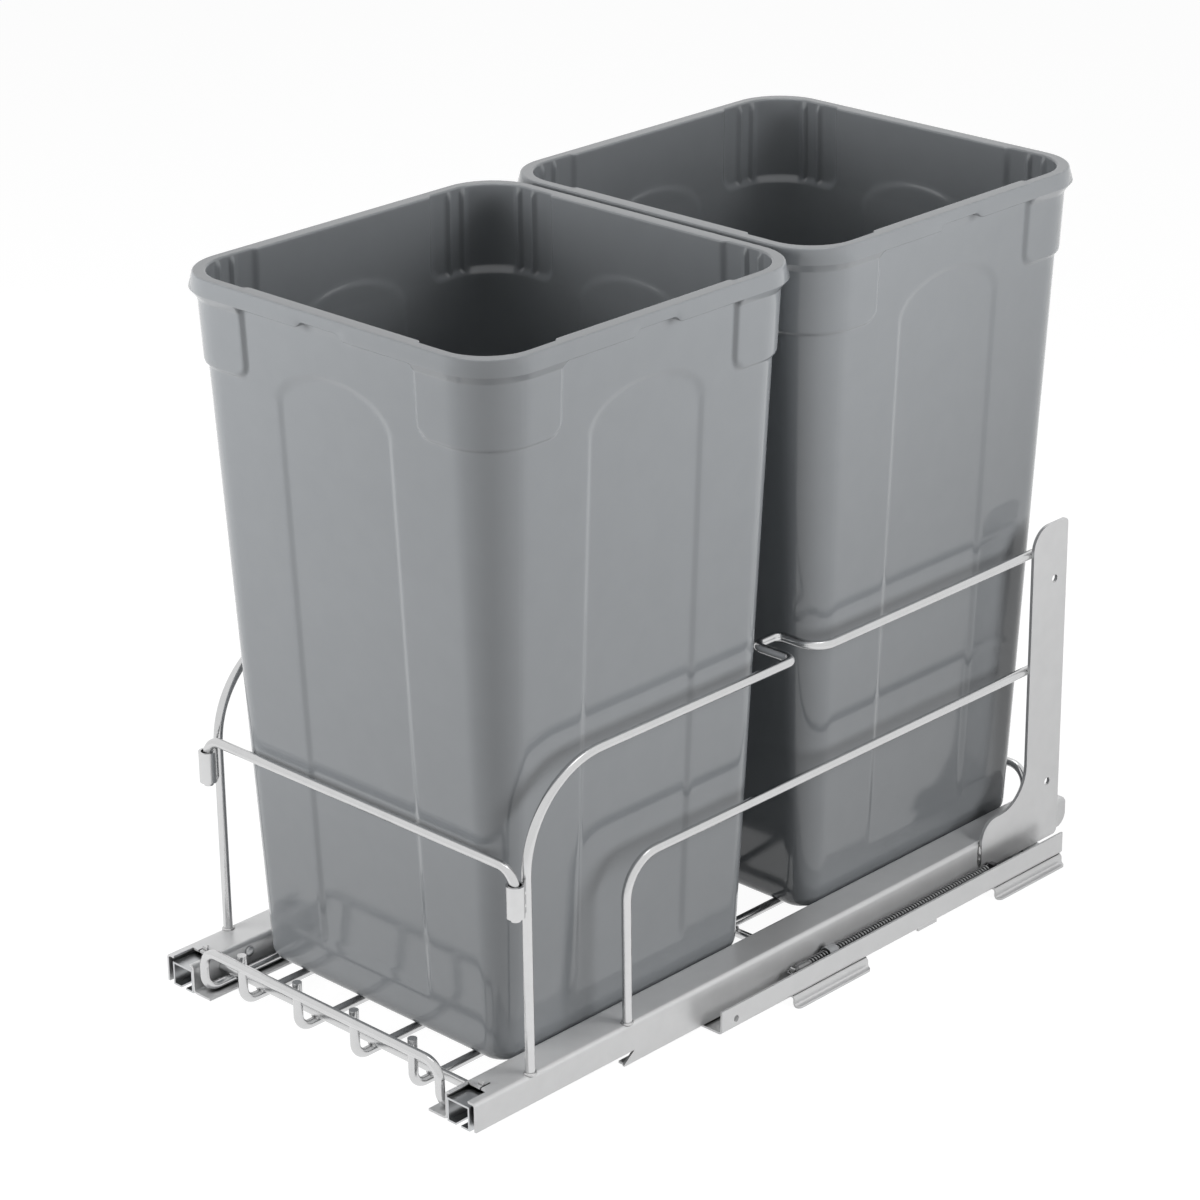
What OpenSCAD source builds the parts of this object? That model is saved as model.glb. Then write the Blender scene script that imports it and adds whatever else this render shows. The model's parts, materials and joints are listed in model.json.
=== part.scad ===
// Pull-out frame for two waste bins on bottom-mounted telescopic slides.
// Frame: +Z up, front (door side) at -Y, right-hand side at +X, floor at z = 0.

/* [Bins] */
// Width of a bin over the top of its rim
bin_w = 268; // [246:1:296]
// Depth of a bin over the top of its rim, front to back
bin_d = 267; // [237:1:297]
// Height of a bin
bin_h = 454; // [380:1:520]
// Wall thickness of a bin
bin_wall = 2.5; // [2:0.1:4]
// How far each side leans in from the rim to the base
bin_taper = 26; // [20:1:32]
// Corner radius of a bin at its rim
bin_corner_r = 36; // [30:1:46]
// Corner radius of a bin at its base
base_corner_r = 17; // [14:1:20]
// Height of the rim band
rim_h = 10; // [8:0.5:20]
// Width of the rim's top
rim_w = 10; // [8:0.5:12]
// How far the rim band widens from its top to its lower edge
rim_flare = 2; // [0.5:0.1:2]
// How far the rim band stands out from the wall
rim_out = 4.5; // [3.5:0.5:6]
// Width of a corner panel along each side, from the rim's outline
panel_w = 62; // [50:1:75]
// Height of the corner panels below the rim band
panel_h = 45.5; // [25:0.5:80]
// How far the corner panels stand out from the wall
panel_out = 2.6; // [1:0.1:3]
// Radius of a bin's bottom edge
bin_edge_r = 9; // [4:0.5:16]
// Gap between the tops of the two bins' rims
bin_gap = 5; // [5:0.5:12]
// How far the front bin's rim stands out over the front end of the rails
front_over = 7; // [2:0.5:9]
// Room from the rear rim to the rear end of the rails
rear_margin = 27; // [20:1:60]
// Room from a bin's base to a rail's inner wall
bin_clear = 4.5; // [4:0.5:12]

/* [Side rails] */
// Width of a rail's top
rail_w = 25.5; // [25.5:0.5:32]
// Sheet thickness of a rail
rail_sheet = 1.5; // [1.2:0.1:2]
// Height of a rail's outer wall at its ends
rail_h = 19; // [16:0.5:22]
// How far the skirt hangs below the rail's top
skirt_h = 27; // [26:0.5:30]
// How far the skirt's rear end stays ahead of the rail's rear end
skirt_inset = 125; // [80:1:160]
// Width of the skirt's inward return
skirt_return = 6; // [3:0.5:6.2]
// How far the tray flange lies below the rail's top
flange_drop = 18; // [17:0.5:20]
// Width of the tray flange
flange_w = 14.5; // [10:0.5:20]
// Length of the cut-out in the rail's top at its rear end
notch_l = 16; // [8:1:30]
// Width left on both sides of that cut-out
notch_lip = 3.5; // [2:0.5:6]

/* [Door plates] */
// Thickness of a door plate
plate_t = 2.2; // [1.5:0.1:3]
// Width of the upright part of a door plate
plate_w = 35.5; // [28:0.5:50]
// Height of a door plate above the rail's top
plate_h = 208.5; // [205:0.5:260]
// Distance of a door plate from the rail's front end
plate_setback = 12; // [6:0.5:20]
// Length of a door plate along the rail
plate_foot_l = 81; // [70:1:100]
// How far a door plate reaches below the rail's top
plate_drop = 20.8; // [18:0.1:21]
// Height of the plate's foot above the rail's top
plate_foot_h = 14; // [8:0.5:20]
// Radius of the curve from the upright to the foot
plate_blend_r = 26; // [16:1:34]
// Radius of the plate's rear top corner
plate_corner_r = 16; // [8:1:24]
// Radius of the door screw holes
door_hole_r = 2.75; // [2:0.25:3.5]
// Distance of the door screw holes from the plate's front edge
door_hole_inset = 12.5; // [8:0.5:16]
// Height of the lower door screw hole above the rail's top
door_hole_low = 21.5; // [15:0.5:40]
// Spacing of the two door screw holes
door_hole_pitch = 147; // [100:1:170]

/* [Wires] */
// Radius of all bent wires
wire_r = 3; // [2.5:0.1:3.5]
// Height of the upper side wire above the rail's top
upper_wire_h = 190; // [160:1:198]
// Bend radius of the upper side wire's rear corner
upper_bend_r = 62; // [30:1:80]
// Height of the lower side wire above the rail's top
lower_wire_h = 107.5; // [80:0.5:130]
// Bend radius of the lower side wire's rear corner
lower_bend_r = 26; // [15:1:50]
// Distance from the upper wire's post to the lower wire's post
post_pitch = 83; // [60:1:110]
// How far the upper wire's loop reaches in between the bins
loop_depth = 33; // [28:1:45]
// Room from that loop to the front bin
loop_clear = 4.5; // [4:0.5:6]
// How far the loop lies behind the middle between the bins
loop_back = 4.2; // [2:0.1:4.2]
// Bend radius of the loop's tight corners
loop_r = 6.5; // [4:0.5:7]
// Bend radius of the loop's wide corner
loop_wide_r = 14; // [8:1:18]
// Height of the tray's lip wires above the rail's top
lip_h = 13; // [11:0.5:30]
// Bend radius of the lip wires' top corners
lip_bend_r = 12; // [8:0.5:12]
// Bend radius where the lip wires turn along the flange
lip_foot_r = 10; // [6:0.5:10]
// Length of a lip wire along the flange
lip_run_l = 110; // [50:1:200]
// Spacing of the long tray wires
tray_pitch = 50.8; // [40:0.2:54]
// Bend radius of the tray wires' upturned ends
tray_bend_r = 9; // [6:0.5:12]
// How far the upturned ends stand above the lip wires' axis
stub_over = 4; // [3:0.5:8]
// Distance of the front cross wire from the rails' front ends
cross_inset = 31; // [22:1:60]
// Distance of the rear cross wire from the rails' rear ends
rear_cross_inset = 23.5; // [20:0.5:30]

/* [Rear bar] */
// Outer radius of a bar sleeve
sleeve_r = 5.6; // [5:0.1:7]
// Bore radius of a bar sleeve
sleeve_bore_r = 4; // [3.8:0.1:4.5]
// Length of a bar sleeve
sleeve_l = 20.5; // [14:0.5:30]
// Height of a sleeve's lower end above the rail's top
sleeve_h = 106.5; // [80:0.5:106.5]
// Bend radius of the rear bar
bar_bend_r = 13; // [12:0.5:16]
// How far the bar's pins show below the sleeves
bar_pin_out = 2.5; // [1:0.5:6]
// Room from the rear bar to the rear bin
bar_clear = 4; // [3:0.5:12]
// Gap bridged by the sleeve's weld nubs
nub_gap = 0.6; // [0.3:0.1:1.5]
// Radius of a weld nub
nub_r = 2; // [1:0.25:2.5]

/* [Cabinet side] */
// Height of the feet
foot_h = 8; // [7:0.5:20]
// Length of a foot
foot_l = 71; // [60:1:85]
// Distance between the front and the rear foot
foot_pitch = 202; // [150:1:230]
// Width of a foot on the cabinet floor, without its outer lip
foot_w = 56; // [50:1:65]
// Distance between the two legs of a foot
foot_leg_w = 24; // [22:0.5:26]
// Width of the lip at a foot's outer leg
foot_lip = 3.5; // [3:0.5:6]
// Radius of the floor screw holes
floor_hole_r = 2.5; // [2:0.25:3]
// Distance of the floor screw holes from the foot's inner edge
floor_hole_inset = 8.5; // [6:0.5:10]
// Spacing of the two screw holes in one foot
floor_hole_pitch = 44; // [30:1:50]
// Sheet thickness of feet and channels
channel_sheet = 1.5; // [1.2:0.1:2]
// Length of a mounting channel
channel_l = 341; // [320:1:400]
// Distance of a channel's front end from the rail's front end
channel_setback = 20.5; // [15:0.5:40]
// Gap between a channel's wall and the rail
channel_gap = 12.5; // [11.5:0.5:18]
// Height of a channel's wall
channel_h = 16; // [12:0.5:20]
// Outer radius of the closing spring
spring_r = 3.75; // [3:0.05:3.75]
// Wire radius of the closing spring
spring_wire_r = 0.55; // [0.4:0.05:0.7]
// Turns of the closing spring
spring_turns = 44; // [20:1:44]
// Height of the spring's axis above the channel's web
spring_h = 11.5; // [10.5:0.5:13]
// Distance of the spring's rear anchor from the channel's rear end
spring_inset = 74; // [40:1:90]
// Distance of the spring guide from the channel's rear end
guide_inset = 109; // [100:1:150]
// Travel of the closing catch
catch_travel = 40; // [20:1:42]
// Length of the closing catch
catch_l = 29; // [16:1:40]

/* [Slides] */
// Travel of the frame when it is pulled out
pull_travel = 508; // [400:1:508]
// Length of a middle runner
middle_l = 412; // [390:1:425]
// Sheet thickness of cabinet and drawer runners
runner_sheet = 1.3; // [1:0.1:1.4]
// Outer width of a drawer runner
drawer_runner_w = 18.6; // [18.4:0.1:19.5]
// Outer width of a cabinet runner
cabinet_runner_w = 15.2; // [14:0.1:15.4]
// Width of the slot between a runner's lips
runner_slot = 4.4; // [3.6:0.1:5]
// Thickness of a middle runner's neck
neck_t = 2; // [1.5:0.1:2.4]
// Thickness of a middle runner's head
head_t = 2; // [1.5:0.1:2.4]
// Thickness of a middle runner's foot plate
sole_t = 1.5; // [1.2:0.1:1.8]
// Radius of the upper rollers
upper_roller_r = 2.3; // [2:0.05:2.4]
// Radius of the lower rollers
lower_roller_r = 1.5; // [1.3:0.05:1.6]
// Length of a roller cage
cage_l = 110; // [80:1:114]
// Rollers in one cage
cage_rollers = 6; // [4:1:8]
// Rivets along a drawer runner
runner_rivets = 5; // [3:1:7]
// Distance of the outer rivets from the rail's ends
rivet_inset = 45.5; // [30:0.5:60]
// Radius of a rivet's shank
rivet_r = 2; // [1.5:0.1:2.2]

/* [Hidden] */
$fn = 32;
// Running clearance between slide members
slide_clear = 0.4;
// Clearance above and below a roller
roller_clear = 0.3;
// Clearance of a roller in its cage window
window_clear = 0.2;
// Gap at rest between a lifted-out piece and its seat
seat_gap = 0.3;
// Side clearance of slide members and of the closing catch
side_clear = 0.8;
// Clearance from the channel's web to the rail's skirt
skirt_clear = 1.5;
// Height of a rivet head and its radius over the shank
rivet_head_h = 1;
rivet_head_out = 1.4;
// Segments in a quarter turn of bent sheet and of a bin's corner
bend_steps = 5;
bin_steps = 7;
// Middle radius of the bends in sheet metal
sheet_bend_r = 2.2;
// Length kept free when slides are fully extended
cage_reserve = 15;
// Facets round a bent wire
wire_fn = 24;
// Wall of the ring that guides the closing spring
guide_wall = 0.7;
// Long wires in the tray
tray_wires = 4;
// Small tab, tongue and hole details of rails and channels
tab_l = 8;
tab_w = 4;
tab_h = 2.5;
tongue_slot_w = 1.2;
skirt_slant = 9;
skirt_nose = 1.2;
rail_toe_r = 9;
channel_hole_r = 2.2;
channel_hole_inset = 13;
channel_hole_h = 5.3;
foot_rivet_pitch = 40;
// Tongue under a channel's web: length, height and distance from the channel's front end
tongue_l = 19;
tongue_h = 4;
tongue_inset = 128;
// Radius of a door plate's small corners
plate_lug_r = 4;
// How far the side wires stop short of a door plate's front edge
wire_end_inset = 4.2;
// Height of a drawer runner's top above the tray flange, and of its lips below
runner_rise = 14;
runner_drop = 2;
// Share of a cage's width that its rollers take
roller_share = 2 / 3;
// Places of a sleeve's weld nubs, as shares of its length
nub_places = [0.25, 0.65];
// How far a cut runs past the surface that it cuts
cut_over = 1;
// Width of the slope round a bin's corner panel
panel_slope = 2;

// Worked-out places are rounded to a twentieth of a millimetre
function tidy(v) = round(20 * v) / 20;

// Heights, from the floor up
web_top = foot_h + channel_sheet;
rail_top = web_top + skirt_clear + skirt_h;
flange_top = rail_top - flange_drop;
tray_z = flange_top + wire_r;
cross_z = tray_z - 2 * wire_r;
rear_cross_z = tray_z + 2 * wire_r;
bin_z = tray_z + wire_r + seat_gap;
lip_z = rail_top + lip_h;
upper_z = rail_top + upper_wire_h;
lower_z = rail_top + lower_wire_h;
sleeve_low = rail_top + sleeve_h;
sleeve_top = sleeve_low + sleeve_l;
bar_seat = tidy(sqrt(pow(bar_bend_r - wire_r, 2) - pow(bar_bend_r - sleeve_bore_r, 2)));
bar_z = sleeve_top + seat_gap - bar_seat + bar_bend_r;

// Distances across, from the middle outwards
inner_wall_x = bin_w / 2 - bin_taper + bin_clear;
rail_x = inner_wall_x + rail_w;
flange_tip_x = inner_wall_x - flange_w;
lip_run_x = inner_wall_x - flange_w / 2;
wire_x = rail_x - wire_r;
plate_x = rail_x + plate_t;
wall_x = rail_x + channel_gap;
channel_x = wall_x + channel_sheet;
runner_x = inner_wall_x + rail_sheet + drawer_runner_w / 2;
spring_x = (plate_x + wall_x) / 2;
foot_in_x = channel_x - foot_w;
floor_hole_x = foot_in_x + floor_hole_inset;

// Distances front to back
rail_l = 2 * bin_d + bin_gap + rear_margin - front_over;
rail_y = rail_l / 2;
rear_bin_y = rail_y - rear_margin - bin_d / 2;
front_bin_y = -rail_y - front_over + bin_d / 2;
loop_y = (rear_bin_y + front_bin_y) / 2 + loop_back;
part_y = (front_over + rim_flare) / 2;
function bin_lean(z) = rim_out + (bin_taper - rim_out) * (bin_h - rim_h - (z - bin_z)) / (bin_h - rim_h);
bar_y = tidy(rear_bin_y + bin_d / 2 - bin_lean(bar_z) + bar_clear + wire_r);
post_y = bar_y - sleeve_r - nub_gap - wire_r;
lower_post_y = post_y - post_pitch;
loop_half = tidy(bin_gap / 2 + bin_lean(upper_z) - loop_clear - wire_r);
lip_y = rail_y - wire_r;
stub_y = lip_y - 2 * wire_r;
plate_y = -rail_y + plate_setback;
wire_end_y = plate_y + wire_end_inset;
channel_front = -rail_y + channel_setback;
channel_rear = channel_front + channel_l;
front_foot_y = channel_front + foot_l / 2;
rear_foot_y = front_foot_y + foot_pitch;
cage_front = channel_front + pull_travel / 4 + cage_reserve;
skirt_rear = rail_y - skirt_inset;
skirt_front = plate_y + plate_foot_l;
catch_front = channel_front + catch_travel + slide_clear;
catch_rear = catch_front + catch_l;
anchor_y = channel_rear - spring_inset;
spring_front = catch_rear + seat_gap;
spring_rear = anchor_y - seat_gap;

// Slide levels
drawer_top = flange_top + runner_rise;
drawer_low = flange_top - runner_drop;
head_top = drawer_top - runner_sheet - 2 * (upper_roller_r + roller_clear);
track_floor = web_top + runner_sheet;
sole_low = track_floor + 2 * (lower_roller_r + roller_clear);
track_top = sole_low + sole_t + slide_clear + runner_sheet;
upper_roller_z = head_top + roller_clear + upper_roller_r;
lower_roller_z = track_floor + roller_clear + lower_roller_r;
head_w = drawer_runner_w - 2 * (runner_sheet + side_clear);
sole_w = cabinet_runner_w - 2 * (runner_sheet + side_clear);

// Placing: pieces are drawn about the rails' middle and moved so that the whole part is centred;
// every side piece is drawn on the right (+X) and mirrored to the left
module middle() { translate([0, part_y, 0]) children(); }
module left() { middle() mirror([1, 0, 0]) children(); }
module right() { middle() children(); }

// Extrudes an X-Z outline along Y between two places
module along_y(y0, y1) {
    translate([0, y1, 0]) rotate([90, 0, 0]) linear_extrude(y1 - y0) children();
}

// Extrudes a Y-Z outline along X between two places
module along_x(x0, x1) {
    translate([x0, 0, 0]) rotate([90, 0, 90]) linear_extrude(x1 - x0) children();
}

// Box between two corners
module block(low, high) {
    translate(low) cube(high - low);
}

function unit(v) = v / norm(v);
function turn_left(v) = [-v[1], v[0]];

// Middle line of bent sheet: [point, normal] pairs with round corners
function bend_pairs(p, r, i) =
    let (a = unit(p[i] - p[i - 1]), b = unit(p[i + 1] - p[i]))
    let (side = sign(a[0] * b[1] - a[1] * b[0]), angle = acos(a * b))
    let (start = p[i] - a * r * tan(angle / 2), centre = start + side * r * turn_left(a))
    [for (k = [0 : bend_steps])
        let (t = side * angle * k / bend_steps)
        let (n = [cos(t) * turn_left(a)[0] - sin(t) * turn_left(a)[1],
                  sin(t) * turn_left(a)[0] + cos(t) * turn_left(a)[1]])
        [centre - side * r * n, n]];
function sheet_pairs(p, r) = let (last = len(p) - 1) concat(
    [[p[0], turn_left(unit(p[1] - p[0]))]],
    [for (i = [1 : last - 1]) each bend_pairs(p, r, i)],
    [[p[last], turn_left(unit(p[last] - p[last - 1]))]]);

// Bent sheet of thickness t along a middle line
module bent_sheet(p, t, r = sheet_bend_r) {
    pairs = sheet_pairs(p, r);
    count = len(pairs);
    polygon(concat(
        [for (q = pairs) q[0] + q[1] * t / 2],
        [for (i = [count - 1 : -1 : 0]) pairs[i][0] - pairs[i][1] * t / 2]));
}

// One straight stretch of wire from a to b, its facets turned towards side
module wire_stretch(a, b, side) {
    d = unit(b - a);
    e = unit(side - (side * d) * d);
    g = cross(d, e);
    multmatrix([[e[0], g[0], d[0], a[0]], [e[1], g[1], d[1], a[1]], [e[2], g[2], d[2], a[2]]])
        cylinder(r = wire_r, h = norm(b - a), $fn = wire_fn);
}

// One round corner of wire at p between directions a and b
module wire_corner(p, a, b, r) {
    angle = acos(a * b);
    start = p - a * r * tan(angle / 2);
    centre = p + unit(b - a) * r / cos(angle / 2);
    e = unit(start - centre);
    g = cross(e, a);
    multmatrix([[e[0], a[0], g[0], centre[0]], [e[1], a[1], g[1], centre[1]], [e[2], a[2], g[2], centre[2]]])
        rotate_extrude(angle = angle, $fn = 4 * wire_fn) translate([r, 0]) circle(wire_r, $fn = wire_fn);
}

// Bent wire through points p with corner radii r at the inner points
module bent_wire(p, r) {
    last = len(p) - 1;
    dirs = [for (i = [0 : last - 1]) unit(p[i + 1] - p[i])];
    cut = [for (i = [0 : last])
        i == 0 || i == last ? 0 : r[i - 1] * tan(acos(dirs[i - 1] * dirs[i]) / 2)];
    for (i = [0 : last - 1]) {
        bend = i > 0 ? dirs[i - 1] - dirs[i] : dirs[min(1, last - 1)] - dirs[0];
        side = norm(bend) > 0 ? bend : [0, 0, 1];
        wire_stretch(p[i] + dirs[i] * cut[i], p[i + 1] - dirs[i] * cut[i + 1], side);
    }
    for (i = [1 : 1 : last - 1])
        wire_corner(p[i], dirs[i - 1], dirs[i], r[i - 1]);
}

// Cabinet side

module mounting_channel() {
    mid = channel_sheet / 2;
    color("silver") difference() {
        union() {
            along_y(channel_front, channel_rear) bent_sheet([
                [runner_x - drawer_runner_w / 2, foot_h + mid],
                [channel_x - mid, foot_h + mid],
                [channel_x - mid, foot_h + channel_h]], channel_sheet);
            block([spring_x - tab_w / 2, anchor_y, web_top - channel_sheet / 2],
                [spring_x + tab_w / 2, anchor_y + channel_sheet, web_top + spring_h + tab_h]);
            block([channel_x - tab_w - channel_sheet, channel_front + tongue_inset, foot_h - tongue_h],
                [channel_x - tab_w, channel_front + tongue_inset + tongue_l, foot_h + mid]);
        }
        for (y = [front_foot_y, rear_foot_y], k = [-0.5, 0.5])
            translate([rail_x - wire_r, y + k * foot_rivet_pitch, 0])
                cylinder(r = rivet_r, h = 2 * web_top);
        translate([wall_x - cut_over, channel_rear - channel_hole_inset, web_top + channel_hole_h])
            rotate([0, 90, 0]) cylinder(r = channel_hole_r, h = channel_sheet + 2 * cut_over);
    }
}

module cabinet_runner() {
    w = cabinet_runner_w / 2;
    s = runner_sheet;
    color("gainsboro") along_y(channel_front, channel_rear) translate([runner_x, 0]) polygon([
        [-w, web_top], [w, web_top], [w, track_top], [runner_slot / 2, track_top],
        [runner_slot / 2, track_top - s], [w - s, track_top - s], [w - s, track_floor],
        [s - w, track_floor], [s - w, track_top - s], [-runner_slot / 2, track_top - s],
        [-runner_slot / 2, track_top], [-w, track_top]]);
}

module foot(y) {
    mid = channel_sheet / 2;
    outer_leg_x = channel_x - mid;
    inner_leg_x = outer_leg_x - foot_leg_w;
    lip_reach = foot_lip + cut_over;
    color("silver") difference() {
        along_y(y - foot_l / 2, y + foot_l / 2) bent_sheet([
            [foot_in_x, mid],
            [inner_leg_x, mid],
            [inner_leg_x, foot_h - mid],
            [outer_leg_x, foot_h - mid],
            [outer_leg_x, mid],
            [channel_x + foot_lip, mid]], channel_sheet);
        for (k = [-0.5, 0.5]) {
            translate([rail_x - wire_r, y + k * foot_rivet_pitch, foot_h / 2])
                cylinder(r = rivet_r, h = foot_h);
            translate([floor_hole_x, y + k * floor_hole_pitch, -cut_over])
                cylinder(r = floor_hole_r, h = channel_sheet + 2 * cut_over);
        }
        for (k = [-1, 1])
            translate([channel_x, y + k * (foot_l / 2 - foot_lip), -cut_over]) difference() {
                block([0, min(0, k * lip_reach), 0], [lip_reach, max(0, k * lip_reach), foot_h]);
                translate([0, 0, -cut_over]) cylinder(r = foot_lip, h = foot_h + 2 * cut_over);
            }
    }
}

module foot_rivets() {
    color("gainsboro") for (y = [front_foot_y, rear_foot_y], k = [-0.5, 0.5])
        translate([rail_x - wire_r, y + k * foot_rivet_pitch, foot_h - channel_sheet]) {
            cylinder(r = rivet_r, h = 2 * channel_sheet);
            translate([0, 0, 2 * channel_sheet]) cylinder(r = rivet_r + rivet_head_out, h = rivet_head_h);
        }
}

// Closing spring: one tube along a helix whose ends run straight on its axis
spring_mean_r = spring_r - spring_wire_r;
curl_rings = 8;
end_rings = 2;
lead_rings = 4;
spring_rings = spring_turns * curl_rings;
spring_run = spring_rear - spring_front - 4 * spring_wire_r;
function spring_grow(i) = min(1, max(0, min(i, spring_rings - i) / lead_rings));
function spring_ray(i) = [cos(360 * i / curl_rings), 0, sin(360 * i / curl_rings)];
function spring_mid(i) = [spring_x, spring_front + 2 * spring_wire_r + spring_run * i / spring_rings,
    web_top + spring_h] + spring_grow(i) * spring_mean_r * spring_ray(i);
spring_line = concat(
    [for (k = [end_rings : -1 : 1]) spring_mid(0) - [0, 2 * spring_wire_r * k / end_rings, 0]],
    [for (i = [0 : spring_rings]) spring_mid(i)],
    [for (k = [1 : end_rings]) spring_mid(spring_rings) + [0, 2 * spring_wire_r * k / end_rings, 0]]);
spring_count = len(spring_line);
spring_gap = min([for (i = [0 : spring_count - 1], k = [curl_rings - 2 : curl_rings + 2])
    if (i + k < spring_count) norm(spring_line[i + k] - spring_line[i])]) - 2 * spring_wire_r;
echo("closing spring, least gap to itself in mm", spring_gap);

module closing_spring() {
    sides = 6;
    points = [for (i = [0 : spring_count - 1])
        let (t = unit(spring_line[min(i + 1, spring_count - 1)] - spring_line[max(i - 1, 0)]))
        let (ray = spring_ray(i - end_rings), n = unit(ray - (ray * t) * t), b = cross(t, n))
        for (k = [0 : sides - 1])
            spring_line[i] + spring_wire_r * (cos(360 * k / sides) * n + sin(360 * k / sides) * b)];
    walls = [for (i = [0 : spring_count - 2], k = [0 : sides - 1])
        let (a = i * sides + k, b = i * sides + (k + 1) % sides)
        each [[a, a + sides, b], [b, a + sides, b + sides]]];
    base = (spring_count - 1) * sides;
    caps = [for (k = [1 : sides - 2]) each [[0, k, k + 1], [base, base + k + 1, base + k]]];
    color("lightgray") polyhedron(points, concat(walls, caps));
}

module spring_guide() {
    y = channel_rear - guide_inset;
    bore_r = spring_r + seat_gap;
    ring_r = bore_r + guide_wall;
    color("whitesmoke") difference() {
        union() {
            translate([spring_x, y, web_top + spring_h]) rotate([90, 0, 0])
                cylinder(r = ring_r, h = tab_l, center = true);
            block([spring_x - tab_w / 2, y - tab_l / 2, web_top],
                [spring_x + tab_w / 2, y + tab_l / 2, web_top + spring_h]);
        }
        translate([spring_x, y, web_top + spring_h]) rotate([90, 0, 0])
            cylinder(r = bore_r, h = tab_l + 2 * cut_over, center = true);
    }
}

module closing_catch() {
    x0 = plate_x + side_clear;
    x1 = wall_x - sheet_bend_r;
    color("dimgray") {
        block([x0, catch_front, web_top + seat_gap],
            [x1, catch_rear, web_top + spring_h - spring_r - seat_gap]);
        block([spring_x - tab_w / 2, catch_rear - tab_w, web_top + seat_gap],
            [spring_x + tab_w / 2, catch_rear, web_top + spring_h + tab_h]);
    }
}

// Telescopic slide

// Strip with a row of rollers: the cage, or the rollers that lie in its windows
module cage(z, w, t, r) {
    pitch = cage_l / cage_rollers;
    color("ivory") difference() {
        block([runner_x - w / 2, cage_front, z - t / 2], [runner_x + w / 2, cage_front + cage_l, z + t / 2]);
        for (i = [0 : cage_rollers - 1])
            translate([runner_x, cage_front + (i + 0.5) * pitch, z])
                cube([w * roller_share, 2 * r, 2 * t] + 2 * window_clear * [1, 1, 0], center = true);
    }
}

module rollers(z, w, r) {
    pitch = cage_l / cage_rollers;
    color("gray") for (i = [0 : cage_rollers - 1])
        translate([runner_x, cage_front + (i + 0.5) * pitch, z]) rotate([0, 90, 0])
            cylinder(r = r, h = w * roller_share, center = true);
}

module upper_cage() { cage(upper_roller_z, head_w, upper_roller_r, upper_roller_r); }
module upper_rollers() { rollers(upper_roller_z, head_w, upper_roller_r); }
module lower_cage() { cage(lower_roller_z, sole_w, lower_roller_r, lower_roller_r); }
module lower_rollers() { rollers(lower_roller_z, sole_w, lower_roller_r); }

module middle_runner() {
    h = head_w / 2;
    n = neck_t / 2;
    f = sole_w / 2;
    color("lightsteelblue") along_y(channel_front, channel_front + middle_l)
        translate([runner_x, 0]) polygon([
            [-f, sole_low], [f, sole_low], [f, sole_low + sole_t], [n, sole_low + sole_t],
            [n, head_top - head_t], [h, head_top - head_t], [h, head_top], [-h, head_top],
            [-h, head_top - head_t], [-n, head_top - head_t], [-n, sole_low + sole_t],
            [-f, sole_low + sole_t]]);
}

function rivet_place(i) = (rail_l - 2 * rivet_inset) * (i / (runner_rivets - 1) - 0.5);
rivet_z = (head_top + drawer_top) / 2;

module rivet_holes() {
    for (i = [0 : runner_rivets - 1])
        translate([inner_wall_x - cut_over, rivet_place(i), rivet_z]) rotate([0, 90, 0])
            cylinder(r = rivet_r, h = rail_sheet + runner_sheet + 2 * cut_over);
}

module drawer_runner() {
    w = drawer_runner_w / 2;
    s = runner_sheet;
    color("gainsboro") difference() {
        along_y(-rail_y, rail_y) translate([runner_x, 0]) polygon([
            [-w, drawer_low], [-runner_slot / 2, drawer_low], [-runner_slot / 2, drawer_low + s],
            [s - w, drawer_low + s], [s - w, drawer_top - s], [w - s, drawer_top - s],
            [w - s, drawer_low + s], [runner_slot / 2, drawer_low + s], [runner_slot / 2, drawer_low],
            [w, drawer_low], [w, drawer_top], [-w, drawer_top]]);
        rivet_holes();
    }
}

module runner_rivet_row() {
    color("lightgray") for (i = [0 : runner_rivets - 1])
        translate([inner_wall_x, rivet_place(i), rivet_z]) rotate([0, 90, 0]) {
            cylinder(r = rivet_r, h = rail_sheet + runner_sheet);
            translate([0, 0, -rivet_head_h]) cylinder(r = rivet_r + rivet_head_out, h = rivet_head_h);
        }
}

// Moving frame

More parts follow.
